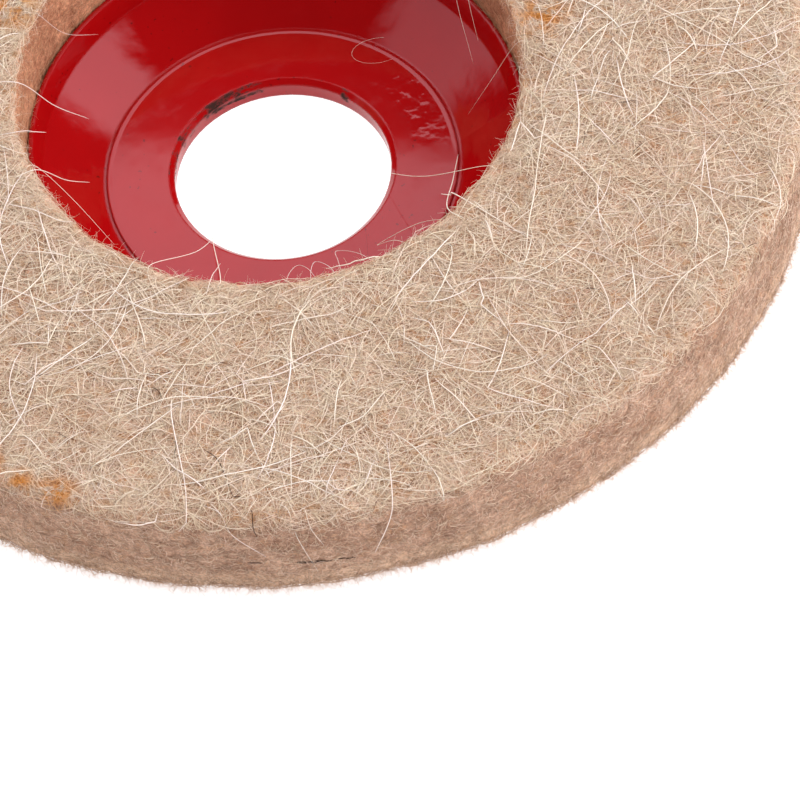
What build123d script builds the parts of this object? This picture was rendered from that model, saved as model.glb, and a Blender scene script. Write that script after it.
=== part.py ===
"""Felt polishing wheel: a thick pressed wool ring glued on a dished plastic backing plate.

Millimetres, +Z up. The origin is on the wheel's axis, in the plane of the hub's rear face,
which seats on the machine's flange and is the lowest face of the wheel. The working face of
the felt looks up. The lock nut goes in the dish, on the raised seat around the spindle bore.
"""

import os

from build123d import *

# ---- Driving dimensions -------------------------------------------------------------------
WHEEL_R = 50.0  # nominal 100 mm wheel
FELT_BORE_R = 23.3
FELT_THICK = 10.0
FELT_BACK_Z = 5.65  # plane of the felt's back, above the hub's rear face
FELT_RIM_ROUND = 0.9  # worn-in rounding of the working face's outer edge
FELT_EDGE_ROUND = 0.5  # the other three edges of the ring

SPINDLE_R = 10.2  # a 20 mm spindle with clearance
BORE_CHAMFER = 0.5
SEAT_TOP_Z = 1.95  # the raised seat for the lock nut
SEAT_R = 16.6
SEAT_STEP = 0.25  # how far the seat stands above the foot of the dish
SEAT_ROUND = 0.15

DISH_FOOT_R = 16.9
DISH_TOP_R = 22.1
DISH_TOP_Z = 5.55
COLLAR_IN_R = 22.75  # inner edge of the collar's narrow top land
COLLAR_OUT_R = 23.2  # the felt's bore slips over this
COLLAR_TOP_Z = 7.95
COLLAR_ROUND = 0.15
DISH_EDGE_ROUND = 0.2

GLUE_THICK = 0.3
GLUE_IN_R = 23.6
GLUE_OUT_R = 43.4
FLANGE_R = 44.0
FLANGE_THICK = 2.0
DISH_WALL = 1.9  # wall of the dish, measured square to it

RIB_COUNT = 12
RIB_THICK = 1.6
RIB_DEPTH = 1.4  # ribs and rings stand this far below the flange
RIM_BEAD_WIDTH = 1.8
MID_RING_R = 33.0
MID_RING_WIDTH = 1.4
BACK_ROUND = 0.3

# ---- Worked out from them -----------------------------------------------------------------
FELT_TOP_Z = FELT_BACK_Z + FELT_THICK
FLANGE_TOP_Z = FELT_BACK_Z - GLUE_THICK
FLANGE_BACK_Z = FLANGE_TOP_Z - FLANGE_THICK
RIB_BACK_Z = FLANGE_BACK_Z - RIB_DEPTH
DISH_FOOT_Z = SEAT_TOP_Z - SEAT_STEP


def slope_at_back(z):
    """Radius of the dish's outer (rear) cone at height z."""
    run = DISH_TOP_R - DISH_FOOT_R
    rise = DISH_TOP_Z - DISH_FOOT_Z
    length = (run**2 + rise**2) ** 0.5
    foot_r = DISH_FOOT_R + DISH_WALL * rise / length
    foot_z = DISH_FOOT_Z - DISH_WALL * run / length
    return foot_r + (z - foot_z) * run / rise


def edges_at(part, radius, z):
    """The circular edges of a part at one radius and height."""
    found = []
    for edge in part.edges().filter_by(GeomType.CIRCLE):
        same_r = abs(edge.radius - radius) < 0.01
        same_z = abs(edge.arc_center.Z - z) < 0.01
        if same_r and same_z:
            found.append(edge)
    return found


# ---- Felt ring ----------------------------------------------------------------------------
with BuildPart() as felt_ring:
    with BuildSketch(Plane.XZ) as felt_section:
        with Locations(((FELT_BORE_R + WHEEL_R) / 2, (FELT_BACK_Z + FELT_TOP_Z) / 2)):
            Rectangle(WHEEL_R - FELT_BORE_R, FELT_THICK)
        outer_top = felt_section.vertices().sort_by(Axis.X)[-2:].sort_by(Axis.Y)[-1]
        others = felt_section.vertices().filter_by(lambda v: v != outer_top)
        fillet(outer_top, radius=FELT_RIM_ROUND)
        fillet(others, radius=FELT_EDGE_ROUND)
    revolve(axis=Axis.Z)
felt_ring.part.label = "felt_ring"

# ---- Glue film between the flange and the felt --------------------------------------------
with BuildPart() as glue_film:
    with BuildSketch(Plane.XY.offset(FLANGE_TOP_Z)):
        Circle(GLUE_OUT_R)
        Circle(GLUE_IN_R, mode=Mode.SUBTRACT)
    extrude(amount=GLUE_THICK)
glue_film.part.label = "glue_film"

# ---- Backing plate: seat, dish, collar and flange in one moulding -------------------------
with BuildPart() as backing_plate:
    with BuildSketch(Plane.XZ):
        with BuildLine():
            Polyline(
                (SPINDLE_R, 0),
                (slope_at_back(0), 0),
                (slope_at_back(FLANGE_BACK_Z), FLANGE_BACK_Z),
                (FLANGE_R, FLANGE_BACK_Z),
                (FLANGE_R, FLANGE_TOP_Z),
                (COLLAR_OUT_R, FLANGE_TOP_Z),
                (COLLAR_OUT_R, COLLAR_TOP_Z),
                (COLLAR_IN_R, COLLAR_TOP_Z),
                (DISH_TOP_R, DISH_TOP_Z),
                (DISH_FOOT_R, DISH_FOOT_Z),
                (SEAT_R, DISH_FOOT_Z),
                (SEAT_R, SEAT_TOP_Z),
                (SPINDLE_R, SEAT_TOP_Z),
                close=True,
            )
        make_face()
    revolve(axis=Axis.Z)

    # rim bead and middle ring under the flange
    for ring_out_r, ring_width in ((FLANGE_R, RIM_BEAD_WIDTH), (MID_RING_R, MID_RING_WIDTH)):
        with BuildSketch(Plane.XY.offset(RIB_BACK_Z)):
            Circle(ring_out_r)
            Circle(ring_out_r - ring_width, mode=Mode.SUBTRACT)
        extrude(amount=RIB_DEPTH)

    # radial ribs from the dish to the rim bead
    rib_in_r = slope_at_back(RIB_BACK_Z) - RIB_THICK / 2
    rib_out_r = FLANGE_R - RIM_BEAD_WIDTH / 2
    with BuildSketch(Plane.XY.offset(RIB_BACK_Z)):
        with PolarLocations((rib_in_r + rib_out_r) / 2, RIB_COUNT):
            Rectangle(rib_out_r - rib_in_r, RIB_THICK)
    extrude(amount=RIB_DEPTH)

    # moulded edges
    chamfer(edges_at(backing_plate, SPINDLE_R, SEAT_TOP_Z), length=BORE_CHAMFER)
    fillet(edges_at(backing_plate, SEAT_R, SEAT_TOP_Z), radius=SEAT_ROUND)
    fillet(edges_at(backing_plate, COLLAR_IN_R, COLLAR_TOP_Z), radius=COLLAR_ROUND)
    fillet(edges_at(backing_plate, DISH_TOP_R, DISH_TOP_Z), radius=DISH_EDGE_ROUND)
    fillet(edges_at(backing_plate, slope_at_back(0), 0), radius=BACK_ROUND)
    fillet(edges_at(backing_plate, FLANGE_R, RIB_BACK_Z), radius=BACK_ROUND)
    fillet(edges_at(backing_plate, FLANGE_R, FLANGE_TOP_Z), radius=BACK_ROUND)
backing_plate.part.label = "backing_plate"

# ---- Output -------------------------------------------------------------------------------
os.makedirs("parts", exist_ok=True)
export_step(felt_ring.part, "parts/felt_ring.step")
export_step(glue_film.part, "parts/glue_film.step")
export_step(backing_plate.part, "parts/backing_plate.step")
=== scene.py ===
"""Felt polishing wheel: the pressed wool ring with its hairs, the red backing plate and the glue line."""

import math

import bpy
import numpy as np
from mathutils import Matrix, Vector


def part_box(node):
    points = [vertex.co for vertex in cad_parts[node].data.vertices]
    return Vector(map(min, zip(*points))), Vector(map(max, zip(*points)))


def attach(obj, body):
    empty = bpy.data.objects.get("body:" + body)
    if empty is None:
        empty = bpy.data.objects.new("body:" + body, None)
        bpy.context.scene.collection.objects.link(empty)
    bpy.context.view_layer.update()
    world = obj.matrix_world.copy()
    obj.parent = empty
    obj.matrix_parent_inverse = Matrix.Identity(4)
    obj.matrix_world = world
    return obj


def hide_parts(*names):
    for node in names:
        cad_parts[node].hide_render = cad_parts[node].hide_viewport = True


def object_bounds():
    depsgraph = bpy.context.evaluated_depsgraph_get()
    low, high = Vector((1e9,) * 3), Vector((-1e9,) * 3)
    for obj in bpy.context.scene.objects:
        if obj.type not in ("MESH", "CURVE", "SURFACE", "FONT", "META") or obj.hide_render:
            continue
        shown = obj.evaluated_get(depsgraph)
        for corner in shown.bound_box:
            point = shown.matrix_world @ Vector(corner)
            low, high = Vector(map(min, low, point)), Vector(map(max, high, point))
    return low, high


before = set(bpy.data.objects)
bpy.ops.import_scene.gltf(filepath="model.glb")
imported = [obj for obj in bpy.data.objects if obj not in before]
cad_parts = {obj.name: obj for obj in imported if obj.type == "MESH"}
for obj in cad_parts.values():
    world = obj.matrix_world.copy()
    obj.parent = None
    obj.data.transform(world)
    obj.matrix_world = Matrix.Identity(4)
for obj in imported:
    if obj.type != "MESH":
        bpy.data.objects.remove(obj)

bl_info = {
    "name": "Felt Polishing Wheel",
    "version": (1, 0, 0),
    "blender": (4, 5, 0),
    "location": "3D View > Sidebar > Felt Wheel",
    "description": "Builds a hairy pressed wool polishing wheel around its packed frame",
    "category": "Object",
}

MM = 0.001
BODY = "root"
PIECE_FACES = 190_000  # triangles in one piece at most
CAD_LOW, CAD_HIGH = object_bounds()


def node_radii(name):
    """Smallest and largest distance of a node's corners from the wheel's axis."""
    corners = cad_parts[name].data.vertices
    spans = [math.hypot(v.co.x, v.co.y) for v in corners]
    return min(spans), max(spans)


FELT_LOW, FELT_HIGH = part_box("felt_ring")
FELT_BORE_R, FELT_RIM_R = node_radii("felt_ring")
PLATE_BORE_R, PLATE_RIM_R = node_radii("backing_plate")
GLUE_LOW, GLUE_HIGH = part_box("glue_film")
GLUE_BORE_R, GLUE_RIM_R = node_radii("glue_film")


# ---- Settings ------------------------------------------------------------------------------
def colour(name, about, value):
    return bpy.props.FloatVectorProperty(
        name=name, description=about, default=value, size=3, min=0, max=1, subtype="COLOR"
    )


def length(name, about, value):
    return bpy.props.FloatProperty(name=name, description=about, default=value, unit="LENGTH", precision=5)


def amount(name, about, value):
    return bpy.props.FloatProperty(name=name, description=about, default=value, min=0, subtype="FACTOR")


def count(name, about, value):
    return bpy.props.IntProperty(name=name, description=about, default=value, min=1)


def angle(name, about, value):
    return bpy.props.FloatProperty(
        name=name, description=about, default=math.radians(value), unit="ROTATION"
    )


class FeltSettings(bpy.types.PropertyGroup):
    """The pressed wool ring and the hairs on it."""

    rim_round: length("Rim rounding", "Radius of the working face's outer edge", 1.3 * MM)
    edge_round: length("Edge rounding", "Radius of the ring's other edges", 0.5 * MM)
    lump_size: length("Lump size", "Spacing of the felt's broad lumps", 7 * MM)
    lump_height: length("Lump height", "Height of the broad lumps", 0.055 * MM)
    tuft_size: length("Tuft size", "Spacing of the felt's small tufts", 1.8 * MM)
    tuft_height: length("Tuft height", "Height of the small tufts", 0.04 * MM)
    # painted shade: the wool under the hairs is kept darker than the hairs, to stand for the shadow among
    # them
    core_shade: colour("Core shade", "Wool deep between the hairs", (0.52, 0.29, 0.17))
    core_light: colour("Core light", "Wool near the surface", (0.76, 0.54, 0.39))
    wall_dark: colour("Wall shade", "Dark tone of the cut rim", (0.36, 0.203, 0.128))
    wall_light: colour("Wall light", "Light tone of the cut rim", (0.57, 0.37, 0.255))
    # painted light: the rim's tone near the back is lightened to stand for the light that the pale floor
    # throws up on it
    wall_floor_lit: colour("Wall foot", "Rim near the back, lit from below by the pale floor", (0.70, 0.48, 0.335))
    bore_dark: colour("Bore shade", "Dark tone of the cut bore", (0.43, 0.195, 0.105))
    bore_light: colour("Bore light", "Light tone of the cut bore", (0.74, 0.40, 0.225))
    mat_dark: colour("Mat shade", "Darkest hairs of the face", (0.64, 0.435, 0.30))
    mat_light: colour("Mat light", "Lightest hairs of the face", (0.95, 0.795, 0.63))
    pale: colour("Pale hair", "Pale hairs that lie over the mat", (0.95, 0.82, 0.70))
    kemp: colour("Kemp", "Coarse white hairs", (0.95, 0.87, 0.81))
    warm: colour("Warm tuft", "Small tufts of browner wool", (0.62, 0.33, 0.16))
    rust: colour("Rust stain", "Stains soaked into the wool", (0.78, 0.33, 0.06))
    # also the colour of the dark strands that paint the shade of a crevice in the rim
    dirt: colour("Dark hair", "Dark hairs and crumbs", (0.035, 0.022, 0.018))
    mat_hairs: count("Mat hairs", "Fine hairs matted over the working face", 60000)
    pale_hairs: count("Pale hairs", "Longer pale hairs on the working face", 9000)
    kemp_hairs: count("Kemp hairs", "Coarse white hairs on the working face", 420)
    rim_hairs: count("Rim hairs", "Short fuzz around the rim", 30000)
    bore_hairs: count("Bore hairs", "Short fuzz in the bore", 7000)
    back_hairs: count("Back hairs", "Fuzz on the back outside the plate", 7000)


class PlateSettings(bpy.types.PropertyGroup):
    """The red moulded backing plate and the glue line."""

    red: colour("Red", "Body colour of the moulding", (0.365, 0.0025, 0.0035))
    speck: colour("Speck", "Fine grit stuck to the gloss", (0.10, 0.003, 0.003))
    scuff: colour("Scuff", "Dirt rubbed into the bore's lip", (0.035, 0.013, 0.008))
    gloss: amount("Roughness", "Roughness of the clean moulding", 0.045)
    edge: length("Edge softness", "How far the moulding's sharp edges look rounded", 0.28 * MM)
    glue: colour("Glue", "Cured glue", (0.55, 0.32, 0.10))


class StageSettings(bpy.types.PropertyGroup):
    """The camera, the soft boxes and the floor."""

    distance: length("Camera distance", "From the camera to the wheel's axis", 0.650)
    height_angle: angle("Camera height", "Camera's elevation above the floor", 51.97)
    roll: angle("Camera roll", "Turn of the camera about its own axis", -8.34)
    aim_x: length("Aim across", "Point the camera looks at, across", 7.0 * MM)
    aim_y: length("Aim along", "Point the camera looks at, along", -38.5 * MM)
    lens: bpy.props.FloatProperty(
        name="Lens", description="Focal length for a 36 mm sensor", default=313.4, unit="CAMERA"
    )
    right_light: amount("Right soft box", "Radiance of the right soft box", 2.5)
    left_light: amount("Left soft box", "Radiance of the left soft box", 1.3)
    side_light: amount("Side light", "Radiance of the low light from the right on matt surfaces", 6.2)
    back_light: amount("Back soft box", "Radiance of the soft box behind the wheel", 2.5)
    fill: amount("Fill", "Even light from the room on matt surfaces", 0.82)
    floor: colour("Floor", "Pale floor", (0.55, 0.55, 0.55))
    floor_glow: amount("Floor glow", "Light that comes up through the pale floor", 0.85)


def felt():
    return bpy.context.scene.felt_wheel_felt


def plate():
    return bpy.context.scene.felt_wheel_plate


def stage():
    return bpy.context.scene.felt_wheel_stage


# ---- Material helpers ----------------------------------------------------------------------
def new_material(name):
    """A material with its Principled shader, and its node tree."""
    material = bpy.data.materials.new(name)
    material.use_nodes = True
    tree = material.node_tree
    return material, tree, tree.nodes["Principled BSDF"]


def feed(tree, socket, value):
    """Link an input to another node's output, or set its value; colours come with or without alpha."""
    if isinstance(value, bpy.types.NodeSocket):
        tree.links.new(value, socket)
    elif socket.type == "RGBA" and len(value) == 3:
        socket.default_value = (*value, 1.0)
    else:
        socket.default_value = value


def add(tree, kind, **inputs):
    """A node with some of its inputs set or linked by name."""
    made = tree.nodes.new(kind)
    for key, value in inputs.items():
        feed(tree, made.inputs[key], value)
    return made


def maths(tree, operation, first, second=0.0, clamp=False):
    """Result of one operation on numbers or sockets."""
    made = tree.nodes.new("ShaderNodeMath")
    made.operation = operation
    made.use_clamp = clamp
    feed(tree, made.inputs[0], first)
    feed(tree, made.inputs[1], second)
    return made.outputs[0]


def plus(tree, first, second):
    """Sum of two numbers or sockets."""
    return maths(tree, "ADD", first, second)


def product(tree, *factors):
    """Product of two or more numbers or sockets."""
    total = factors[0]
    for factor in factors[1:]:
        total = maths(tree, "MULTIPLY", total, factor)
    return total


def mix(tree, share, first, second):
    """Colour that goes from first to second as share goes from 0 to 1."""
    made = tree.nodes.new("ShaderNodeMix")
    made.data_type = "RGBA"
    # a mix node's colour inputs are its seventh and eighth, and its colour output is its third
    feed(tree, made.inputs[0], share)
    feed(tree, made.inputs[6], first)
    feed(tree, made.inputs[7], second)
    return made.outputs[2]


def times(tree, first, second):
    """Product of two colours."""
    made = tree.nodes.new("ShaderNodeVectorMath")
    made.operation = "MULTIPLY"
    tree.links.new(first, made.inputs[0])
    tree.links.new(second, made.inputs[1])
    return made.outputs[0]


def ramp(tree, value, low, high):
    """Smooth step from 0 at low to 1 at high."""
    made = tree.nodes.new("ShaderNodeMapRange")
    made.interpolation_type = "SMOOTHSTEP"
    tree.links.new(value, made.inputs["Value"])
    feed(tree, made.inputs["From Min"], low)
    feed(tree, made.inputs["From Max"], high)
    return made.outputs["Result"]


def noise(tree, size, detail=3.0, rough=0.55, stretch=None):
    """Noise from 0 to 1 in the wheel's own space, with lumps about size metres apart."""
    place = add(tree, "ShaderNodeTexCoord").outputs["Object"]
    if stretch:
        place = add(tree, "ShaderNodeMapping", Vector=place, Scale=stretch).outputs[0]
    made = add(tree, "ShaderNodeTexNoise", Vector=place, Scale=1.0 / size, Detail=detail, Roughness=rough)
    return made.outputs[0]


def polar(tree):
    """Radius and angle about the wheel's axis, and height, of the shaded point."""
    place = add(tree, "ShaderNodeTexCoord").outputs["Object"]
    parts = add(tree, "ShaderNodeSeparateXYZ", Vector=place)
    x, y, z = parts.outputs
    radius = maths(tree, "SQRT", plus(tree, product(tree, x, x), product(tree, y, y)))
    return radius, maths(tree, "ARCTAN2", y, x), z


def group(name, output, colours=(), numbers=()):
    """An empty shader group with named colours and numbers as inputs, and one output."""
    tree = bpy.data.node_groups.new(name, "ShaderNodeTree")
    for kind, labels in (("NodeSocketColor", colours), ("NodeSocketFloat", numbers)):
        for label in labels:
            tree.interface.new_socket(label, in_out="INPUT", socket_type=kind)
    kind = "NodeSocketColor" if output == "Color" else "NodeSocketFloat"
    tree.interface.new_socket(output, in_out="OUTPUT", socket_type=kind)
    return tree, tree.nodes.new("NodeGroupInput").outputs, tree.nodes.new("NodeGroupOutput").inputs[output]


def use_group(tree, name, **inputs):
    """A shared shader group with its inputs set or linked by name."""
    made = tree.nodes.new("ShaderNodeGroup")
    made.node_tree = bpy.data.node_groups[name]
    for key, value in inputs.items():
        feed(tree, made.inputs[key], value)
    return made


# Stains on the working face: distance from the axis in mm, direction in degrees, spread in mm
STAINS = (
    (26, 150, 4),
    (26, 5, 4),
    (49, 232, 3),
    (49, 236, 2),
    (49, 240, 3),
    (48, 60, 2),
    (31, 100, 2),
)


def build_stain_group():
    """Mask of the rusty stains."""
    tree, _, out = group("rust stain", "Mask")
    place = add(tree, "ShaderNodeTexCoord").outputs["Object"]
    blotch = noise(tree, 1.6 * MM, 4.0, 0.65)
    total = None
    for span, direction, spread in STAINS:
        turn = math.radians(direction)
        spot = Vector((span * MM * math.cos(turn), span * MM * math.sin(turn), FELT_HIGH.z))
        gap = tree.nodes.new("ShaderNodeVectorMath")
        gap.operation = "DISTANCE"
        tree.links.new(place, gap.inputs[0])
        gap.inputs[1].default_value = spot
        near = maths(tree, "SUBTRACT", 1.0, ramp(tree, gap.outputs["Value"], 0.0, spread * MM), clamp=True)
        total = near if total is None else maths(tree, "MAXIMUM", total, near)
    ragged = product(tree, total, ramp(tree, blotch, 0.42, 0.56))
    tree.links.new(ragged, out)


def build_wool_group():
    """Wool's colour: each hair has its own tone, with slow mottling and the stains."""
    tree, given, out = group(
        "wool tone", "Color", ("Dark", "Light", "Rust", "Warm"), ("Warmth", "Mottle", "Stain")
    )
    island = add(tree, "ShaderNodeNewGeometry").outputs["Random Per Island"]
    slow = noise(tree, 5 * MM, 3.0, 0.6)
    fine = noise(tree, 0.7 * MM, 2.0, 0.6)
    cloud = plus(tree, product(tree, slow, 0.6), product(tree, fine, 0.4))
    cloud = ramp(tree, cloud, 0.34, 0.66)
    own = product(tree, island, maths(tree, "SUBTRACT", 1.0, given["Mottle"]))
    tone = plus(tree, own, product(tree, cloud, given["Mottle"]))
    wool = mix(tree, tone, given["Dark"], given["Light"])
    # each hair leans to pink or to straw, and small tufts are browner
    hue = maths(tree, "FRACT", product(tree, island, 7.0))
    wool = times(tree, wool, mix(tree, hue, (1.02, 0.99, 1.04), (0.99, 1.01, 0.95)))
    tuft = ramp(tree, noise(tree, 1.0 * MM, 2.0, 0.5), 0.56, 0.70)
    wool = mix(tree, product(tree, tuft, given["Warmth"]), wool, given["Warm"])
    stain = product(tree, use_group(tree, "rust stain").outputs["Mask"], given["Stain"])
    tree.links.new(mix(tree, stain, wool, given["Rust"]), out)


def wool_tone(tree, dark, light, mottle, warmth, stain):
    """Colour of one kind of wool."""
    made = use_group(
        tree, "wool tone", Dark=dark, Light=light, Rust=felt().rust, Warm=felt().warm,
        Warmth=warmth, Mottle=mottle, Stain=stain,
    )
    return made.outputs["Color"]


def wool_material(name, dark, light, mottle, rough=0.75, stain=0.95, warmth=0.0):
    """Matt material of one kind of wool; mottle is the share of the tone that neighbours have in common."""
    material, tree, shader = new_material(name)
    tree.links.new(wool_tone(tree, dark, light, mottle, warmth, stain), shader.inputs["Base Color"])
    shader.inputs["Roughness"].default_value = rough
    shader.inputs["Specular IOR Level"].default_value = 0.25
    return material


def core_material():
    """Felt under the hairs: pale on the face, darker on the cut walls, with a tangled grain. The walls'
    darker tone is partly the cut felt's own colour and partly painted shade. The core is darkened between
    the hairs as painted shade, and the rim is lightened near the back as painted light from the floor.
    """
    material, tree, shader = new_material("felt core")
    radius, _, height = polar(tree)
    # painted shade: the face's core is darkened between the hairs to stand for their shadow
    face = wool_tone(tree, felt().core_shade, felt().core_light, 1.0, 0.8, 1.0)
    rim = wool_tone(tree, felt().wall_dark, felt().wall_light, 1.0, 0.25, 0.0)
    bore = wool_tone(tree, felt().bore_dark, felt().bore_light, 1.0, 0.0, 0.0)
    outer = ramp(tree, radius, FELT_BORE_R + 1 * MM, FELT_BORE_R + 4 * MM)
    # painted light: the rim lightens toward the back as if lit from the floor below
    foot = ramp(tree, height, FELT_LOW.z + 3.5 * MM, FELT_LOW.z + 0.3 * MM)
    rim = mix(tree, product(tree, foot, 0.7), rim, felt().wall_floor_lit)
    wall = mix(tree, outer, bore, rim)
    # surfaces that face up take the face tone and those that face sideways the wall tone: the cut walls'
    # own darker felt, with painted shade of the sides, which the lamps above light less
    normal = add(tree, "ShaderNodeNewGeometry").outputs["Normal"]
    up = add(tree, "ShaderNodeSeparateXYZ", Vector=normal).outputs[2]
    tone = mix(tree, ramp(tree, up, 0.3, 0.95), wall, face)
    # fine flecks, and flat bands where the layers of wool show on the walls
    fleck = ramp(tree, noise(tree, 0.24 * MM, 3.0, 0.75), 0.34, 0.66)
    band = ramp(tree, noise(tree, 1.6 * MM, 4.0, 0.6, stretch=(0.5, 0.5, 2.0)), 0.35, 0.65)
    light = plus(tree, product(tree, fleck, 0.55), product(tree, band, 0.10))
    light = plus(tree, light, 0.66)
    shade = tree.nodes.new("ShaderNodeVectorMath")
    shade.operation = "SCALE"
    tree.links.new(tone, shade.inputs[0])
    tree.links.new(light, shade.inputs["Scale"])
    tree.links.new(shade.outputs[0], shader.inputs["Base Color"])
    grain = plus(tree, noise(tree, 0.18 * MM, 3.0, 0.7), noise(tree, 0.7 * MM, 2.0, 0.6))
    bump = add(tree, "ShaderNodeBump", Height=grain, Strength=0.7, Distance=0.18 * MM)
    tree.links.new(bump.outputs[0], shader.inputs["Normal"])
    shader.inputs["Roughness"].default_value = 0.9
    shader.inputs["Specular IOR Level"].default_value = 0.15
    return material


def arc_mask(tree, turn, middle, half, soft):
    """1 inside an arc about the axis, from middle - half to middle + half degrees, 0 past soft more."""
    gap = maths(tree, "ABSOLUTE", maths(tree, "SUBTRACT", turn, math.radians(middle)))
    return ramp(tree, gap, math.radians(half + soft), math.radians(half))


def build_scuff_group():
    """Mask of the black dirt rubbed into the bore's wall, in streaks that run round it."""
    tree, _, out = group("bore scuff", "Mask")
    radius, turn, height = polar(tree)
    wall = ramp(tree, radius, PLATE_BORE_R + 0.80 * MM, PLATE_BORE_R + 0.45 * MM)
    above = ramp(tree, height, 0.4 * MM, 0.9 * MM)
    long_smear = arc_mask(tree, turn, middle=113, half=17, soft=8)
    small_smear = arc_mask(tree, turn, middle=48, half=1, soft=5)
    faint_smear = product(tree, arc_mask(tree, turn, middle=150, half=22, soft=8), 0.8)
    smears = maths(tree, "MAXIMUM", maths(tree, "MAXIMUM", long_smear, small_smear), faint_smear)
    place = product(tree, smears, product(tree, wall, above))
    unrolled = add(tree, "ShaderNodeCombineXYZ")
    tree.links.new(product(tree, turn, PLATE_BORE_R), unrolled.inputs[0])
    tree.links.new(product(tree, height, 2.4), unrolled.inputs[1])
    brush = add(
        tree, "ShaderNodeTexNoise",
        Vector=unrolled.outputs[0], Scale=1 / (1.5 * MM), Detail=7.0, Roughness=0.75,
    ).outputs[0]
    edge = maths(tree, "SUBTRACT", 0.72, product(tree, place, 0.30))
    mask = ramp(tree, brush, edge, plus(tree, edge, 0.15))
    tree.links.new(product(tree, mask, ramp(tree, place, 0.0, 0.3)), out)


def build_shader_groups():
    """Build the shader groups; the wool's group holds the stains' group."""
    build_stain_group()
    build_wool_group()
    build_scuff_group()


def plate_material():
    """Glossy red moulding: sink waves, soft edges, a scarred seat, grit, and dirt at the bore's lip."""
    material, tree, shader = new_material("red moulded plastic")
    radius, turn, height = polar(tree)
    dirt = use_group(tree, "bore scuff").outputs["Mask"]
    deep, bright = (tuple(share * part for part in plate().red) for share in (0.9, 1.1))
    red = mix(tree, noise(tree, 6 * MM, 3.0, 0.6), deep, bright)
    speck = ramp(tree, noise(tree, 0.45 * MM, 1.0, 0.5), 0.72, 0.76)
    dusty = ramp(tree, noise(tree, 7 * MM, 2.0, 0.5), 0.48, 0.58)
    speck = product(tree, product(tree, speck, dusty), 0.7)
    red = mix(tree, speck, red, plate().speck)
    tree.links.new(mix(tree, dirt, red, plate().scuff), shader.inputs["Base Color"])
    haze = product(tree, ramp(tree, noise(tree, 2.5 * MM, 4.0, 0.65), 0.5, 0.8), 0.07)
    worn = plus(tree, haze, product(tree, dirt, 0.9))
    tree.links.new(plus(tree, worn, plate().gloss), shader.inputs["Roughness"])
    # heights in millimetres: the cone is wavier than the seat, which has a bead and one scarred side
    cone = ramp(tree, height, 2.0 * MM, 2.6 * MM)
    on_seat = product(
        tree, ramp(tree, radius, 12.0 * MM, 13.5 * MM), ramp(tree, radius, 16.9 * MM, 16.5 * MM)
    )
    scar = product(tree, on_seat, arc_mask(tree, turn, middle=24, half=14, soft=12))
    swell = maths(tree, "SUBTRACT", noise(tree, 6 * MM, 2.5, 0.5), 0.5)
    swell = product(tree, swell, plus(tree, product(tree, cone, 0.12), 0.007))
    pits = maths(tree, "SUBTRACT", noise(tree, 1.8 * MM, 2.0, 0.6), 0.5)
    pitted = product(tree, pits, plus(tree, product(tree, scar, 0.022), product(tree, cone, 0.012)))
    far = ramp(tree, maths(tree, "SINE", turn), -0.1, 0.3)
    bead = product(tree, ramp(tree, radius, 16.0 * MM, 16.45 * MM), 0.05, far)
    relief = plus(tree, plus(tree, swell, pitted), bead)
    soft = tree.nodes.new("ShaderNodeBevel")
    soft.samples = 4
    soft.inputs["Radius"].default_value = plate().edge
    bump = add(tree, "ShaderNodeBump", Height=relief, Strength=1.0, Distance=MM)
    tree.links.new(soft.outputs[0], bump.inputs["Normal"])
    tree.links.new(bump.outputs[0], shader.inputs["Normal"])
    shader.inputs["IOR"].default_value = 1.5
    shader.inputs["Specular Tint"].default_value = (1.0, 0.80, 0.87, 1.0)
    return material


def glue_material():
    """Cured glue: amber, slightly cloudy, shiny where it was squeezed out."""
    material, tree, shader = new_material("cured glue")
    cloud = noise(tree, 1.5 * MM, 4.0, 0.6)
    pale = tuple(min(1.0, c * 1.5) for c in plate().glue)
    tree.links.new(mix(tree, cloud, plate().glue, pale), shader.inputs["Base Color"])
    tree.links.new(plus(tree, product(tree, cloud, 0.3), 0.2), shader.inputs["Roughness"])
    return material


# ---- The felt's skin: a closed outline by arc length ----------------------------------------
def corner(centre_r, centre_z, radius, start, turns=9):
    """Quarter circle that turns clockwise from the direction start, in degrees."""
    spans = np.radians(np.linspace(start, start - 90, turns))
    return [(centre_r + radius * math.cos(a), centre_z + radius * math.sin(a)) for a in spans]


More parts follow.
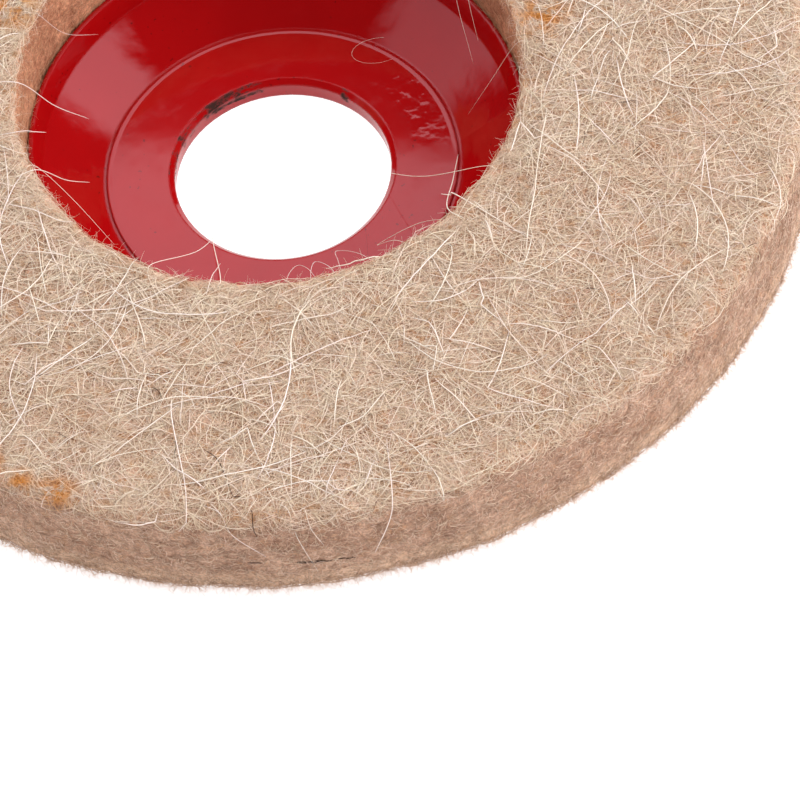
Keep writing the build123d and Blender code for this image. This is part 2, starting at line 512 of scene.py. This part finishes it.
class Skin:
    """The felt ring's outline, walked from the middle of the bore up, out over the face and round."""

    def __init__(self):
        edge, rim = felt().edge_round, felt().rim_round
        bore, out = FELT_BORE_R, FELT_RIM_R
        low, top = FELT_LOW.z, FELT_HIGH.z
        middle = (low + top) / 2
        outline = [(bore, middle)]
        outline += corner(bore + edge, top - edge, edge, 180)
        outline += corner(out - rim, top - rim, rim, 90)
        outline += corner(out - edge, low + edge, edge, 0)
        outline += corner(bore + edge, low + edge, edge, -90)
        outline.append((bore, middle))
        path = np.array(outline)
        gaps = np.hypot(*np.diff(path, axis=0).T)
        knots = np.concatenate([[0.0], np.cumsum(gaps)])
        self.around = knots[-1]
        self.s = np.linspace(0, self.around, 1600, endpoint=False)
        self.r = np.interp(self.s, knots, path[:, 0])
        self.z = np.interp(self.s, knots, path[:, 1])
        along = np.stack([np.gradient(self.r), np.gradient(self.z)], 1)
        along /= np.linalg.norm(along, axis=1, keepdims=True)
        self.out_r, self.out_z = -along[:, 1], along[:, 0]
        # where the face, the rim, the back and the bore start, along the outline
        self.face = (top - edge - middle) + math.pi / 2 * edge
        self.face_end = self.face + (out - rim) - (bore + edge)
        self.rim = self.face_end + math.pi / 2 * rim
        self.rim_end = self.rim + (top - rim) - (low + edge)
        self.back = self.rim_end + math.pi / 2 * edge
        self.back_end = self.back + (out - edge) - (bore + edge)
        self.bore = self.back_end + math.pi / 2 * edge - self.around

    def place(self, s, turn, height=0.0):
        """Points and outward directions at arc length s and angle turn, height above the skin."""
        s = np.mod(s, self.around)
        rows = (self.r, self.z, self.out_r, self.out_z)
        r, z, out_r, out_z = (np.interp(s, self.s, row, period=self.around) for row in rows)
        size = np.hypot(out_r, out_z)
        out_r, out_z = out_r / size, out_z / size
        c, k = np.cos(turn), np.sin(turn)
        point = np.stack([r * c, r * k, z], -1)
        out = np.stack([out_r * c, out_r * k, out_z], -1)
        lift = height + self.unevenness(point)
        return point + out * lift[..., None], out

    def radius(self, s):
        return np.interp(np.mod(s, self.around), self.s, self.r, period=self.around)

    def unevenness(self, point):
        broad = waves(point, 11, felt().lump_size) * felt().lump_height
        small = waves(point, 12, felt().tuft_size) * felt().tuft_height
        return broad + small


def waves(points, seed, size, number=20):
    """A smooth random field of about unit strength, whose lumps are about size apart."""
    rng = np.random.default_rng(seed)
    ways = rng.normal(size=(number, 3))
    ways *= (2 * math.pi / size * rng.uniform(0.6, 1.4, number) / np.linalg.norm(ways, axis=1))[:, None]
    phases = rng.uniform(0, 2 * math.pi, number)
    total = np.zeros(points.shape[:-1])
    for way, phase in zip(ways, phases):
        total += np.sin(points @ way + phase)
    return total * math.sqrt(2 / number)


# ---- Mesh helpers --------------------------------------------------------------------------
def build_mesh(name, corners, order, sizes, smooth):
    """A mesh from corner places, the corners of its faces in one row, and each face's corner count."""
    mesh = bpy.data.meshes.new(name)
    mesh.vertices.add(len(corners))
    mesh.vertices.foreach_set("co", corners.astype(np.float32).ravel())
    mesh.loops.add(len(order))
    mesh.loops.foreach_set("vertex_index", order.astype(np.int32))
    mesh.polygons.add(len(sizes))
    mesh.polygons.foreach_set("loop_start", np.concatenate([[0], np.cumsum(sizes)[:-1]]).astype(np.int32))
    mesh.polygons.foreach_set("use_smooth", np.full(len(sizes), smooth))
    mesh.update(calc_edges=True)
    return mesh


def put(name, data):
    """A new object in the scene."""
    made = bpy.data.objects.new(name, data)
    bpy.context.scene.collection.objects.link(made)
    return made


def place_piece(name, mesh, material):
    """Put a mesh in the scene as a piece that rides on the wheel."""
    piece = put(name, mesh)
    mesh.materials.append(material)
    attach(piece, BODY)
    return piece


def mesh_piece(name, corners, faces, material, smooth=True):
    """A piece from corner places and an array of four-sided faces."""
    mesh = build_mesh(name, corners, faces.ravel(), np.full(len(faces), 4), smooth)
    mesh.validate()
    return place_piece(name, mesh, material)


def hair_piece(name, paths, outs, thick, material, sides=3):
    """Hairs as closed tubes: paths and outs are (hairs, points, 3), thick is (hairs, points)."""
    hairs, points, _ = paths.shape
    along = np.gradient(paths, axis=1)
    along /= np.linalg.norm(along, axis=2, keepdims=True) + 1e-12
    side = np.cross(along, outs)
    side /= np.linalg.norm(side, axis=2, keepdims=True) + 1e-12
    lift = np.cross(side, along)
    turns = np.arange(sides) / sides * 2 * math.pi
    ring = np.cos(turns)[:, None] * side[:, :, None, :] + np.sin(turns)[:, None] * lift[:, :, None, :]
    corners = (paths[:, :, None, :] + ring * thick[:, :, None, None]).reshape(-1, 3)
    first = np.arange(hairs)[:, None, None] * points * sides + np.arange(points - 1)[None, :, None] * sides
    now = np.arange(sides)[None, None, :]
    then = (now + 1) % sides
    walls = np.stack([first + now, first + then, first + sides + then, first + sides + now], 3)
    start = np.arange(hairs)[:, None] * points * sides
    near = start + np.arange(sides)[None, ::-1]
    far = start + (points - 1) * sides + np.arange(sides)[None, :]
    faces = np.concatenate([walls.ravel(), near.ravel(), far.ravel()])
    sizes = np.concatenate([np.full(walls.size // 4, 4), np.full(2 * hairs, sides)])
    place_piece(name, build_mesh(name, corners, faces, sizes, True), material)


def wander(rng, s, turn, heading, long, steps, curl, kink, snap, keep, loose):
    """Paths of hairs that creep over the skin: arc lengths and angles, (hairs, steps + 1).

    snap is the chance of a sharp bend at a step. A hair that would pass its own limits, which lie up to
    loose inside keep, is moved back whole.
    """
    skin = Skin()
    step = long / steps
    bend = rng.normal(0, curl, len(s))
    rows_s, rows_t = [s], [turn]
    for _ in range(steps):
        bend = bend + rng.normal(0, curl * 0.6, len(s))
        sharp = np.where(rng.uniform(0, 1, len(s)) < snap, rng.normal(0, 1.1, len(s)), 0)
        drift = np.clip(bend, -2.5 * curl, 2.5 * curl) * step
        heading = heading + drift + rng.normal(0, kink, len(s)) + sharp
        s = s + np.cos(heading) * step
        turn = turn + np.sin(heading) * step / skin.radius(s)
        rows_s.append(s)
        rows_t.append(turn)
    path = np.stack(rows_s, 1)
    lowest = keep[0] + rng.uniform(0, loose, len(s))
    highest = keep[1] - rng.uniform(0, loose, len(s))
    path -= np.maximum(path.max(1) - highest, 0)[:, None]
    path += np.maximum(lowest - path.min(1), 0)[:, None]
    return path, np.stack(rows_t, 1)


def scatter(rng, number, zone):
    """Arc lengths and angles of hairs spread evenly over a zone, in order round the wheel."""
    skin = Skin()
    first, last = zone
    share = rng.uniform(0, 1, number)
    inner, outer = skin.radius(np.array(zone))
    if abs(outer - inner) > MM:
        span = np.sqrt(inner**2 + share * (outer**2 - inner**2))
        share = (span - inner) / (outer - inner)
    turn = np.sort(rng.uniform(0, 2 * math.pi, number))
    return first + share * (last - first), turn


def in_metres(span):
    """Least and most of a size given in millimetres."""
    return span[0] * MM, span[1] * MM


def in_pieces(name, paths, outs, thick, material, sides):
    """Hairs as one piece, or as several sectors where they hold too many triangles for one."""
    number, points, _ = paths.shape
    per_hair = (points - 1) * sides * 2 + 2 * (sides - 2)
    parts = math.ceil(number * per_hair / PIECE_FACES)
    for part in range(parts):
        chosen = slice(part * number // parts, (part + 1) * number // parts)
        label = f"{name}_{part + 1}" if parts > 1 else name
        hair_piece(label, paths[chosen], outs[chosen], thick[chosen], material, sides)


def lay(
    name, seed, number, zone, long, thick, lift, curl, material,
    steps=5, sides=3, kink=0.1, snap=0.0, flow=0.0, free=0.0, keep=(-1.0, 1.0), loose=0.5, dive=0.0,
):
    """Lay hairs on a zone of the skin, from its first to its last arc length.

    In millimetres: long, thick and lift are the least and most of a hair's length, radius and height above
    the skin; free is how high a loose end stands, dive how deep a hair dips under the mat along its way,
    and loose how far apart the hairs' own limits lie. flow is the share that follows its neighbours.
    """
    rng = np.random.default_rng(seed)
    skin = Skin()
    long, thick, lift = in_metres(long), in_metres(thick), in_metres(lift)
    s, turn = scatter(rng, number, zone)
    way = rng.uniform(0, 2 * math.pi, number)
    if flow:
        start, _ = skin.place(s, turn)
        stream = waves(start, seed + 500, 4 * MM) * 2.2 + rng.normal(0, 0.5, number)
        way = np.where(rng.uniform(0, 1, number) < flow, stream, way)
    size = rng.uniform(*long, number)
    rows_s, rows_t = wander(rng, s, turn, way, size, steps, curl, kink, snap, keep, loose * MM)
    t = np.linspace(0, 1, steps + 1)[None, :]
    middle = rng.uniform(*lift, number)[:, None]
    ripple = np.sin(t * rng.uniform(4, 11, (number, 1)) + rng.uniform(0, 6.3, (number, 1)))
    deep = dive * MM
    height = middle * (0.3 + 0.7 * np.sin(t * math.pi)) + (0.25 * middle + deep) * ripple - deep * 0.5
    height += rng.uniform(0, 1, (number, 1)) ** 2 * free * MM * t**2.2
    paths, outs = skin.place(rows_s, rows_t, height)
    ends = 1 - 0.65 * np.clip((np.abs(t - 0.5) - 0.25) / 0.25, 0, 1) ** 1.5
    in_pieces(name, paths, outs, rng.uniform(*thick, number)[:, None] * ends, material, sides)


def fringe(name, seed, number, zone, long, thick, lean, material, steps=4, sides=3, curl=0.5):
    """Short hairs, sized in millimetres, that stand out of a zone; lean is how far they lie over."""
    rng = np.random.default_rng(seed)
    skin = Skin()
    long, thick = in_metres(long), in_metres(thick)
    s, turn = scatter(rng, number, zone)
    base, out = skin.place(s, turn, np.full(number, -0.08 * MM))
    ahead, _ = skin.place(s + 0.1 * MM, turn)
    along = ahead - base - out * 0.08 * MM
    along /= np.linalg.norm(along, axis=1, keepdims=True)
    around = np.stack([-np.sin(turn), np.cos(turn), np.zeros(number)], 1)
    tilt = rng.normal(0, lean, (number, 2))
    way = out + along * tilt[:, :1] + around * tilt[:, 1:]
    way /= np.linalg.norm(way, axis=1, keepdims=True)
    hook = rng.normal(0, curl, (number, 1)) * along + rng.normal(0, curl, (number, 1)) * around
    size = rng.uniform(*long, (number, 1, 1))
    t = np.linspace(0, 1, steps + 1)[None, :, None]
    paths = base[:, None] + (way[:, None] * t + hook[:, None] * t**2) * size
    outs = np.broadcast_to(around[:, None] * 0.3 + np.cross(way, around)[:, None], paths.shape)
    taper = 1 - 0.6 * t[..., 0]
    in_pieces(name, paths, outs, rng.uniform(*thick, number)[:, None] * taper, material, sides)


def strands(name, rows, material, points=48, sides=5):
    """One piece of hairs, each along a smooth curve through its route's points, in millimetres."""
    paths, thick = [], []
    for width, route in rows:
        knots = np.array(route, float) * MM
        knots = np.concatenate([[2 * knots[0] - knots[1]], knots, [2 * knots[-1] - knots[-2]]])
        place = np.linspace(0, len(route) - 1 - 1e-6, points)
        first = place.astype(int)
        t = (place - first)[:, None]
        a, b, c, d = (knots[first + shift] for shift in range(4))
        square = (2 * a - 5 * b + 4 * c - d) * t**2
        cube = (3 * b - a - 3 * c + d) * t**3
        paths.append(0.5 * (2 * b + (c - a) * t + square + cube))
        thick.append(width / 2 * MM * (1 - 0.6 * np.abs(np.linspace(-1, 1, points)) ** 3))
    paths = np.array(paths)
    outs = np.broadcast_to(np.array([0.21, 0.13, 0.97]), paths.shape)
    hair_piece(name, paths, outs, np.array(thick), material, sides)


# ---- Operators -----------------------------------------------------------------------------
class FELTWHEEL_OT_stage(bpy.types.Operator):
    """Set up the pale floor, the soft boxes and the camera"""

    bl_idname = "felt_wheel.stage"
    bl_label = "Stage"

    def execute(self, context):
        scene = context.scene
        scene.view_settings.view_transform = "Standard"
        self.add_floor()
        self.add_world(scene)
        self.add_lights()
        self.add_camera(scene)
        return {"FINISHED"}

    def add_floor(self):
        half = 4.0
        mesh = bpy.data.meshes.new("floor")
        corners = [(-half, -half, 0), (half, -half, 0), (half, half, 0), (-half, half, 0)]
        mesh.from_pydata(corners, [], [(0, 1, 2, 3)])
        floor = put("floor", mesh)
        floor.location.z = CAD_LOW.z - 0.05 * MM
        material, tree, shader = new_material("pale floor")
        feed(tree, shader.inputs["Base Color"], stage().floor)
        shader.inputs["Roughness"].default_value = 0.9
        shader.inputs["Emission Color"].default_value = (1, 1, 1, 1)
        shader.inputs["Emission Strength"].default_value = stage().floor_glow
        mesh.materials.append(material)

    def add_world(self, scene):
        """Pale where the camera sees it, dim in reflections, with an even fill on matt surfaces."""
        world = bpy.data.worlds.new("studio")
        scene.world = world
        world.use_nodes = True
        tree = world.node_tree
        dim = tree.nodes["Background"]
        dim.inputs["Color"].default_value = (0.03, 0.03, 0.03, 1)
        fill = add(tree, "ShaderNodeBackground", Color=(1, 1, 1, 1), Strength=stage().fill)
        pale = add(tree, "ShaderNodeBackground", Color=(1, 1, 1, 1), Strength=1.0)
        ray = add(tree, "ShaderNodeLightPath")
        last = dim
        for kind, light in (("Is Diffuse Ray", fill), ("Is Camera Ray", pale)):
            both = add(tree, "ShaderNodeMixShader")
            tree.links.new(ray.outputs[kind], both.inputs[0])
            tree.links.new(last.outputs[0], both.inputs[1])
            tree.links.new(light.outputs[0], both.inputs[2])
            last = both
        tree.links.new(last.outputs[0], tree.nodes["World Output"].inputs[0])

    def add_lights(self):
        # name, direction round the wheel, height, roll in degrees, distance, width, height, radiance,
        # soft edge, whether glossy surfaces reflect it, whether it lights matt ones
        boxes = (
            ("right_soft_box", 1, 43, 0, 0.70, 0.42, 0.50, stage().right_light, 0.5, True, True),
            ("left_soft_box", 168, 42, 0, 0.70, 0.62, 0.54, stage().left_light, 0.4, True, False),
            ("back_soft_box", 90, 68, -12, 0.75, 0.80, 0.422, stage().back_light, 0.0, True, True),
            ("side_light", -8, 24, 0, 0.70, 0.35, 0.35, stage().side_light, 0.0, False, True),
        )
        for name, turn, high, roll, far, wide, tall, radiance, soft, shines, lights in boxes:
            light = bpy.data.lights.new(name, "AREA")
            light.shape = "RECTANGLE"
            light.size, light.size_y = wide, tall
            light.energy = radiance * math.pi * wide * tall
            light.color = (0.97, 0.98, 1.0)
            if soft:
                self.soften(light, soft)
            box = put(name, light)
            a, e = math.radians(turn), math.radians(high)
            box.location = Vector((math.cos(a) * math.cos(e), math.sin(a) * math.cos(e), math.sin(e))) * far
            facing = (-box.location).to_track_quat("-Z", "Y").to_matrix()
            box.rotation_euler = (facing @ Matrix.Rotation(math.radians(roll), 3, "Z")).to_euler()
            box.visible_camera = False
            box.visible_glossy = shines
            box.visible_diffuse = lights

    def soften(self, light, soft):
        """Fade a soft box toward its edges, over a share soft of its half width."""
        light.use_nodes = True
        tree = light.node_tree
        place = add(tree, "ShaderNodeNewGeometry").outputs["Parametric"]
        parts = add(tree, "ShaderNodeSeparateXYZ", Vector=place)
        strength = 1.0
        for across in parts.outputs[:2]:
            from_middle = maths(tree, "ABSOLUTE", maths(tree, "SUBTRACT", across, 0.5))
            from_edge = maths(tree, "SUBTRACT", 0.5, from_middle)
            strength = product(tree, ramp(tree, from_edge, 0.0, soft / 2), strength)
        tree.links.new(strength, tree.nodes["Emission"].inputs["Strength"])

    def add_camera(self, scene):
        data = bpy.data.cameras.new("camera")
        data.lens = stage().lens
        data.sensor_width = 36
        data.clip_start, data.clip_end = 0.01, 20
        camera = put("camera", data)
        rise = stage().height_angle
        centre = Vector((0, 0, FELT_LOW.z))
        camera.location = centre + Vector((0, -math.cos(rise), math.sin(rise))) * stage().distance
        aim = Vector((stage().aim_x, stage().aim_y, FELT_HIGH.z))
        facing = (aim - camera.location).to_track_quat("-Z", "Y").to_matrix()
        camera.rotation_euler = (facing @ Matrix.Rotation(stage().roll, 3, "Z")).to_euler()
        scene.camera = camera


class FELTWHEEL_OT_backing_plate(bpy.types.Operator):
    """Give the backing plate its glossy red finish"""

    bl_idname = "felt_wheel.backing_plate"
    bl_label = "Backing plate"

    def execute(self, context):
        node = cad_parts["backing_plate"]
        material = plate_material()
        for slot in node.material_slots:
            slot.material = material
        return {"FINISHED"}


class FELTWHEEL_OT_glue_line(bpy.types.Operator):
    """Make the film of glue, with the bead that was squeezed out at its edge"""

    bl_idname = "felt_wheel.glue_line"
    bl_label = "Glue line"

    def execute(self, context):
        around = 360
        turns = np.linspace(0, 2 * math.pi, around, endpoint=False)
        ring = np.stack([np.cos(turns), np.sin(turns), np.zeros(around)], 1)
        # the bead's outer edge creeps in and out
        creep = waves(ring * 0.04, 21, 0.02) * 0.25 * MM
        thick = GLUE_HIGH.z - GLUE_LOW.z
        inner = np.full(around, GLUE_BORE_R + 0.1 * MM)
        edge = GLUE_RIM_R + creep - 0.1 * MM
        shoulder = edge - 0.16 * MM
        section = ((inner, 0), (shoulder, 0), (edge, 0.25), (edge, 0.75), (shoulder, 1), (inner, 1))
        rows = [ring * span[:, None] + np.array([0, 0, GLUE_LOW.z + thick * up]) for span, up in section]
        corners = np.concatenate(rows)
        faces = []
        for row in range(len(rows)):
            here, there = row * around, (row + 1) % len(rows) * around
            now = np.arange(around)
            then = (now + 1) % around
            faces.append(np.stack([here + now, here + then, there + then, there + now], 1))
        faces = np.concatenate(faces)
        piece = mesh_piece("glue_line", corners, faces, glue_material(), smooth=False)
        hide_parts("glue_film")
        return {"FINISHED"}


class FELTWHEEL_OT_felt_core(bpy.types.Operator):
    """Make the pressed felt ring under the hairs"""

    bl_idname = "felt_wheel.felt_core"
    bl_label = "Felt core"

    def execute(self, context):
        skin = Skin()
        around, rows = 560, 150
        s = np.linspace(0, skin.around, rows, endpoint=False)
        turns = np.linspace(0, 2 * math.pi, around, endpoint=False)
        grid_s, grid_t = np.meshgrid(s, turns, indexing="ij")
        corners, _ = skin.place(grid_s, grid_t, np.full(grid_s.shape, -0.10 * MM))
        row = np.arange(rows)[:, None]
        step = np.arange(around)[None, :]
        here, there = row * around, (row + 1) % rows * around
        then = (step + 1) % around
        faces = np.stack([here + step, here + then, there + then, there + step], 2).reshape(-1, 4)
        piece = mesh_piece("felt_core", corners.reshape(-1, 3), faces, core_material())
        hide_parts("felt_ring")
        return {"FINISHED"}


class FELTWHEEL_OT_face_hairs(bpy.types.Operator):
    """Lay the matted, pale and coarse hairs on the working face"""

    bl_idname = "felt_wheel.face_hairs"
    bl_label = "Face hairs"

    def execute(self, context):
        skin = Skin()
        zone = (skin.face - 0.6 * MM, skin.face_end + 1.4 * MM)
        keep = (skin.face - 0.8 * MM, skin.face_end + 2.2 * MM)
        mat = wool_material("matted wool", felt().mat_dark, felt().mat_light, 0.22, warmth=0.6)
        pale = wool_material("pale wool", felt().mat_light, felt().pale, 0.2, warmth=0.2)
        kemp = wool_material("white kemp", felt().pale, felt().kemp, 0.2, rough=0.5, stain=0.3)
        dark = wool_material("dark wool", felt().dirt, (0.30, 0.16, 0.09), 0.1, stain=0.0)
        lay(
            "face_mat", 31, felt().mat_hairs, zone, (1.4, 4.6), (0.014, 0.032),
            (0.02, 0.24), 240, mat, steps=4, kink=0.15, flow=0.35, keep=keep, loose=0.9,
        )
        lay(
            "face_pale", 32, felt().pale_hairs, zone, (2.5, 9), (0.018, 0.036),
            (0.12, 0.34), 110, pale, steps=7, kink=0.08, snap=0.04, keep=keep, loose=2.5, dive=0.12,
        )
        lay(
            "face_kemp", 33, felt().kemp_hairs, zone, (5, 17), (0.028, 0.058),
            (0.22, 0.42), 40, kemp, steps=18, sides=4, kink=0.03, snap=0.05, keep=keep, loose=4,
            dive=0.16, free=0.8,
        )
        lay(
            "face_dark", 34, 90, zone, (0.6, 2.6), (0.018, 0.032),
            (0.2, 0.34), 200, dark, keep=keep, loose=1.5,
        )
        return {"FINISHED"}


class FELTWHEEL_OT_wall_fuzz(bpy.types.Operator):
    """Lay the short fuzz on the rim, in the bore and on the back"""

    bl_idname = "felt_wheel.wall_fuzz"
    bl_label = "Wall fuzz"

    def execute(self, context):
        skin = Skin()
        rim = wool_material("rim wool", (0.30, 0.17, 0.11), (0.90, 0.68, 0.53), 0.1, stain=0.0)
        bore = wool_material("bore wool", felt().bore_dark, (0.78, 0.48, 0.30), 0.35, stain=0.0)
        fine = (0.015, 0.027)
        short = (0.4, 1.4)
        lift = (0.0, 0.13)
        lay(
            "rim_fuzz", 41, felt().rim_hairs, (skin.rim - 0.8 * MM, skin.back), short, fine, lift, 500, rim,
            steps=4, kink=0.2, keep=(skin.rim - 1.2 * MM, skin.back + 0.5 * MM),
        )
        lay(
            "bore_fuzz", 42, felt().bore_hairs, (skin.bore, skin.face - 0.3 * MM), short, fine, lift,
            500, bore, steps=4, kink=0.2, keep=(skin.bore, skin.face),
        )
        lay(
            "back_fuzz", 43, felt().back_hairs, (skin.back, skin.back + 7 * MM), (1, 4), (0.018, 0.034),
            (0.02, 0.15), 300, rim, kink=0.15, keep=(skin.rim_end, skin.back + 7 * MM),
        )
        return {"FINISHED"}


class FELTWHEEL_OT_edge_fringe(bpy.types.Operator):
    """Stand short hairs out of the ring's edges and walls, where its outline shows them"""

    bl_idname = "felt_wheel.edge_fringe"
    bl_label = "Edge fringe"

    def execute(self, context):
        skin = Skin()
        light = wool_material("fringe wool", (0.80, 0.58, 0.42), felt().pale, 0.2, stain=0.0)
        # painted light: the foot fringe's tone runs up to the rim's floor-lit tone
        ruddy_floor_lit = wool_material("rim fringe wool", felt().wall_light, felt().wall_floor_lit, 0.2, stain=0.0)
        tan = wool_material("collar fringe wool", felt().bore_dark, felt().bore_light, 0.2, stain=0.0)
        fine = (0.010, 0.018)
        coarse = (0.013, 0.022)
        short = (0.3, 0.9)
        tufted = (0.3, 1.0)
        # arc length at which the plate's collar stops, counted from the middle of the bore
        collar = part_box("backing_plate")[1].z - (FELT_LOW.z + FELT_HIGH.z) / 2
        foot = (skin.rim_end - 0.4 * MM, skin.back + 0.2 * MM)
        lip = (skin.face - 1.0 * MM, skin.face)
        above_collar = (collar - 0.1 * MM, collar + 0.8 * MM)
        fringe("rim_nap", 51, 5200, (skin.rim, skin.back), (0.2, 0.6), fine, 0.8, light)
        fringe("rim_foot_fringe", 52, 14000, foot, tufted, coarse, 0.6, ruddy_floor_lit)
        fringe("rim_top_fringe", 53, 1800, (skin.face_end, skin.rim), tufted, fine, 1.2, light)
        fringe("bore_fringe", 54, 900, lip, (0.3, 1.2), (0.010, 0.020), 0.9, light)
        fringe("collar_fringe", 56, 1500, above_collar, short, fine, 0.9, tan)
        fringe("face_nap", 55, 4200, (skin.face, skin.face_end), short, coarse, 1.6, light)
        return {"FINISHED"}


# ---- Routes of the loose hairs, in degrees round the wheel and in millimetres ----------------
FACE_TOP = FELT_HIGH.z / MM + 0.25
BORE_EDGE = FELT_BORE_R / MM
RIM_EDGE = FELT_RIM_R / MM


def at(turn, radius, height):
    """Point at an angle round the wheel, a distance from its axis and a height."""
    return np.array([radius * math.cos(math.radians(turn)), radius * math.sin(math.radians(turn)), height])


def hanging(turn, lies, end_turn, end_radius, drop, bow=0.0):
    """A hair that lies out on the face, bends over the bore's edge and hangs in over the hub."""
    edge = at(turn, BORE_EDGE - 0.3, FACE_TOP - 0.2)
    end = at(end_turn, end_radius, FACE_TOP - drop)
    middle = (edge + end) / 2 + at(turn + 90, bow, 0)
    return at(turn, BORE_EDGE + lies, FACE_TOP), edge, middle, end


def looping(turn, sweep, reach, drop):
    """A hair that hangs in over the hub and comes back up to the bore's edge."""
    route = []
    for side, share in ((-1, -0.2), (-0.7, 0.4), (0, 1), (0.7, 0.4), (1, -0.2)):
        sunk = max(share, 0) * drop
        route.append(at(turn + side * sweep / 2, BORE_EDGE - share * reach, FACE_TOP - sunk))
    return route


def resting(turn, radius, long, wide, height):
    """A hair curled into an oval that lies flat over the hub."""
    middle = at(turn, radius, height)
    steps = np.radians(np.arange(0, 330, 30))
    return [middle + np.array([math.cos(a) * long / 2, math.sin(a) * wide / 2, 0]) for a in steps]


def over_rim(turn, lies, sweep, drop):
    """A hair that lies on the face, bends over its outer edge and hangs down the rim."""
    return (
        at(turn, RIM_EDGE - lies, FACE_TOP),
        at(turn + sweep * 0.3, RIM_EDGE - 1.2, FACE_TOP),
        at(turn + sweep * 0.5, RIM_EDGE + 0.1, FACE_TOP - 0.3 * drop),
        at(turn + sweep, RIM_EDGE + 0.1, FACE_TOP - drop),
    )


def on_face(turn, radius, sweep, outward):
    """A short hair that lies on the face."""
    return [at(turn + sweep * share, radius + outward * share**2, FACE_TOP) for share in (0, 0.5, 1)]


def rim_crevice_shade(turn, sweep, drop):
    """A dark strand pressed into the rim, along it: painted shade of a crevice in the felt."""
    return [at(turn + sweep * share, RIM_EDGE, FACE_TOP - drop - 0.1 * share) for share in (0, 0.5, 1)]


# Thickness and route of each loose hair
HUB_HAIRS = (
    (0.085, hanging(170, 3, 162, 18, 9, 0.5)),
    (0.075, hanging(184, 2, 181, 21, 2.5)),
    (0.080, hanging(196, 2, 186, 18, 9, 0.5)),
    (0.050, hanging(195, 1, 210, 19, 9, -1)),
    (0.070, hanging(236, 1, 226, 10, 13, 1)),
    (0.080, hanging(252, 1, 212, 9, 13)),
    (0.070, hanging(250, 2, 244, 16, 8)),
    (0.060, hanging(322, 1, 344, 9, 13.5, -1)),
    (0.100, hanging(312, 8, 314, 20, 3)),
    (0.085, hanging(308, 2, 334, 18, 6)),
    (0.040, hanging(358, 1, 4, 18, 12)),
    (0.045, hanging(28, 0, 18, 21, 8, 1)),
    (0.045, hanging(34, 0, 16, 20, 10, 1)),
    (0.060, looping(302, 12, 9, 12)),
    (0.045, looping(283, 8, 7, 7)),
    (0.045, looping(275, 6, 5, 5)),
    (0.040, looping(270, 7, 5, 5)),
    (0.040, hanging(150, 0, 136, 21, 8, 1)),
    (0.022, resting(48, 16, 5, 3, 2.2)),
)
DARK_HAIRS_AND_CREVICE_SHADE = (
    (0.080, on_face(255, 42, 4, 5)),
    (0.075, on_face(259, 47, 1, 0)),
    (0.085, over_rim(261, 1.5, 0.5, 2)),
    (0.060, on_face(246, 36, 2, 1)),
    (0.060, on_face(310, 39, 1, 1)),
    (0.014, resting(252, 8, 8, 2, 2.2)),
    (0.014, hanging(286, 0, 312, 7, 13, 1)),
    # painted shade: these dark strands along the rim stand for the shadow in a crevice of the felt
    (0.300, rim_crevice_shade(265, 3, 6.4)),
    (0.260, rim_crevice_shade(267, 2, 6.5)),
    (0.150, rim_crevice_shade(268.5, 1.5, 6.5)),
    (0.110, rim_crevice_shade(270, 1, 6.7)),
    (0.100, rim_crevice_shade(260, 1.5, 6)),
)
RIM_HAIRS = (
    (0.080, over_rim(277, 7, -4, 6.5)),
    (0.055, over_rim(256, 2, 6, 5)),
    (0.050, over_rim(264, 2, 3, 8)),
    (0.050, over_rim(266, 1, 2, 4)),
)


class FELTWHEEL_OT_loose_hairs(bpy.types.Operator):
    """Lay the loose hairs over the hub, the dark hairs, the dark strands along the rim that paint the shade
    of a crevice, and the hairs that hang down the rim
    """

    bl_idname = "felt_wheel.loose_hairs"
    bl_label = "Loose hairs"

    def execute(self, context):
        pale = wool_material("loose pale hair", felt().pale, felt().kemp, 0.0, rough=0.45, stain=0.0)
        # the dark thread material colours the dark hairs and also the strands that paint a crevice's shade
        dark = wool_material("dark thread", felt().dirt, (0.09, 0.05, 0.035), 0.5, stain=0.0)
        strands("hub_hairs", HUB_HAIRS, pale)
        strands("rim_hairs", RIM_HAIRS, pale)
        strands("dark_hairs_and_crevice_shade", DARK_HAIRS_AND_CREVICE_SHADE, dark)
        return {"FINISHED"}


CLASSES = (
    FeltSettings,
    PlateSettings,
    StageSettings,
    FELTWHEEL_OT_stage,
    FELTWHEEL_OT_backing_plate,
    FELTWHEEL_OT_glue_line,
    FELTWHEEL_OT_felt_core,
    FELTWHEEL_OT_face_hairs,
    FELTWHEEL_OT_wall_fuzz,
    FELTWHEEL_OT_edge_fringe,
    FELTWHEEL_OT_loose_hairs,
)


class FELTWHEEL_PT_panel(bpy.types.Panel):
    """The wheel's pieces, in the order they are built"""

    bl_idname = "FELTWHEEL_PT_panel"
    bl_label = "Felt Wheel"
    bl_space_type = "VIEW_3D"
    bl_region_type = "UI"
    bl_category = "Felt Wheel"

    def draw(self, context):
        for made in CLASSES:
            if issubclass(made, bpy.types.Operator):
                self.layout.operator(made.bl_idname)


def register():
    for made in (*CLASSES, FELTWHEEL_PT_panel):
        bpy.utils.register_class(made)
    bpy.types.Scene.felt_wheel_felt = bpy.props.PointerProperty(type=FeltSettings)
    bpy.types.Scene.felt_wheel_plate = bpy.props.PointerProperty(type=PlateSettings)
    bpy.types.Scene.felt_wheel_stage = bpy.props.PointerProperty(type=StageSettings)


def unregister():
    del bpy.types.Scene.felt_wheel_felt
    del bpy.types.Scene.felt_wheel_plate
    del bpy.types.Scene.felt_wheel_stage
    for made in reversed((*CLASSES, FELTWHEEL_PT_panel)):
        bpy.utils.unregister_class(made)


def main():
    register()
    build_shader_groups()
    bpy.ops.felt_wheel.stage()
    bpy.ops.felt_wheel.backing_plate()
    bpy.ops.felt_wheel.glue_line()
    bpy.ops.felt_wheel.felt_core()
    bpy.ops.felt_wheel.face_hairs()
    bpy.ops.felt_wheel.wall_fuzz()
    bpy.ops.felt_wheel.edge_fringe()
    bpy.ops.felt_wheel.loose_hairs()


if __name__ == "__main__":
    main()
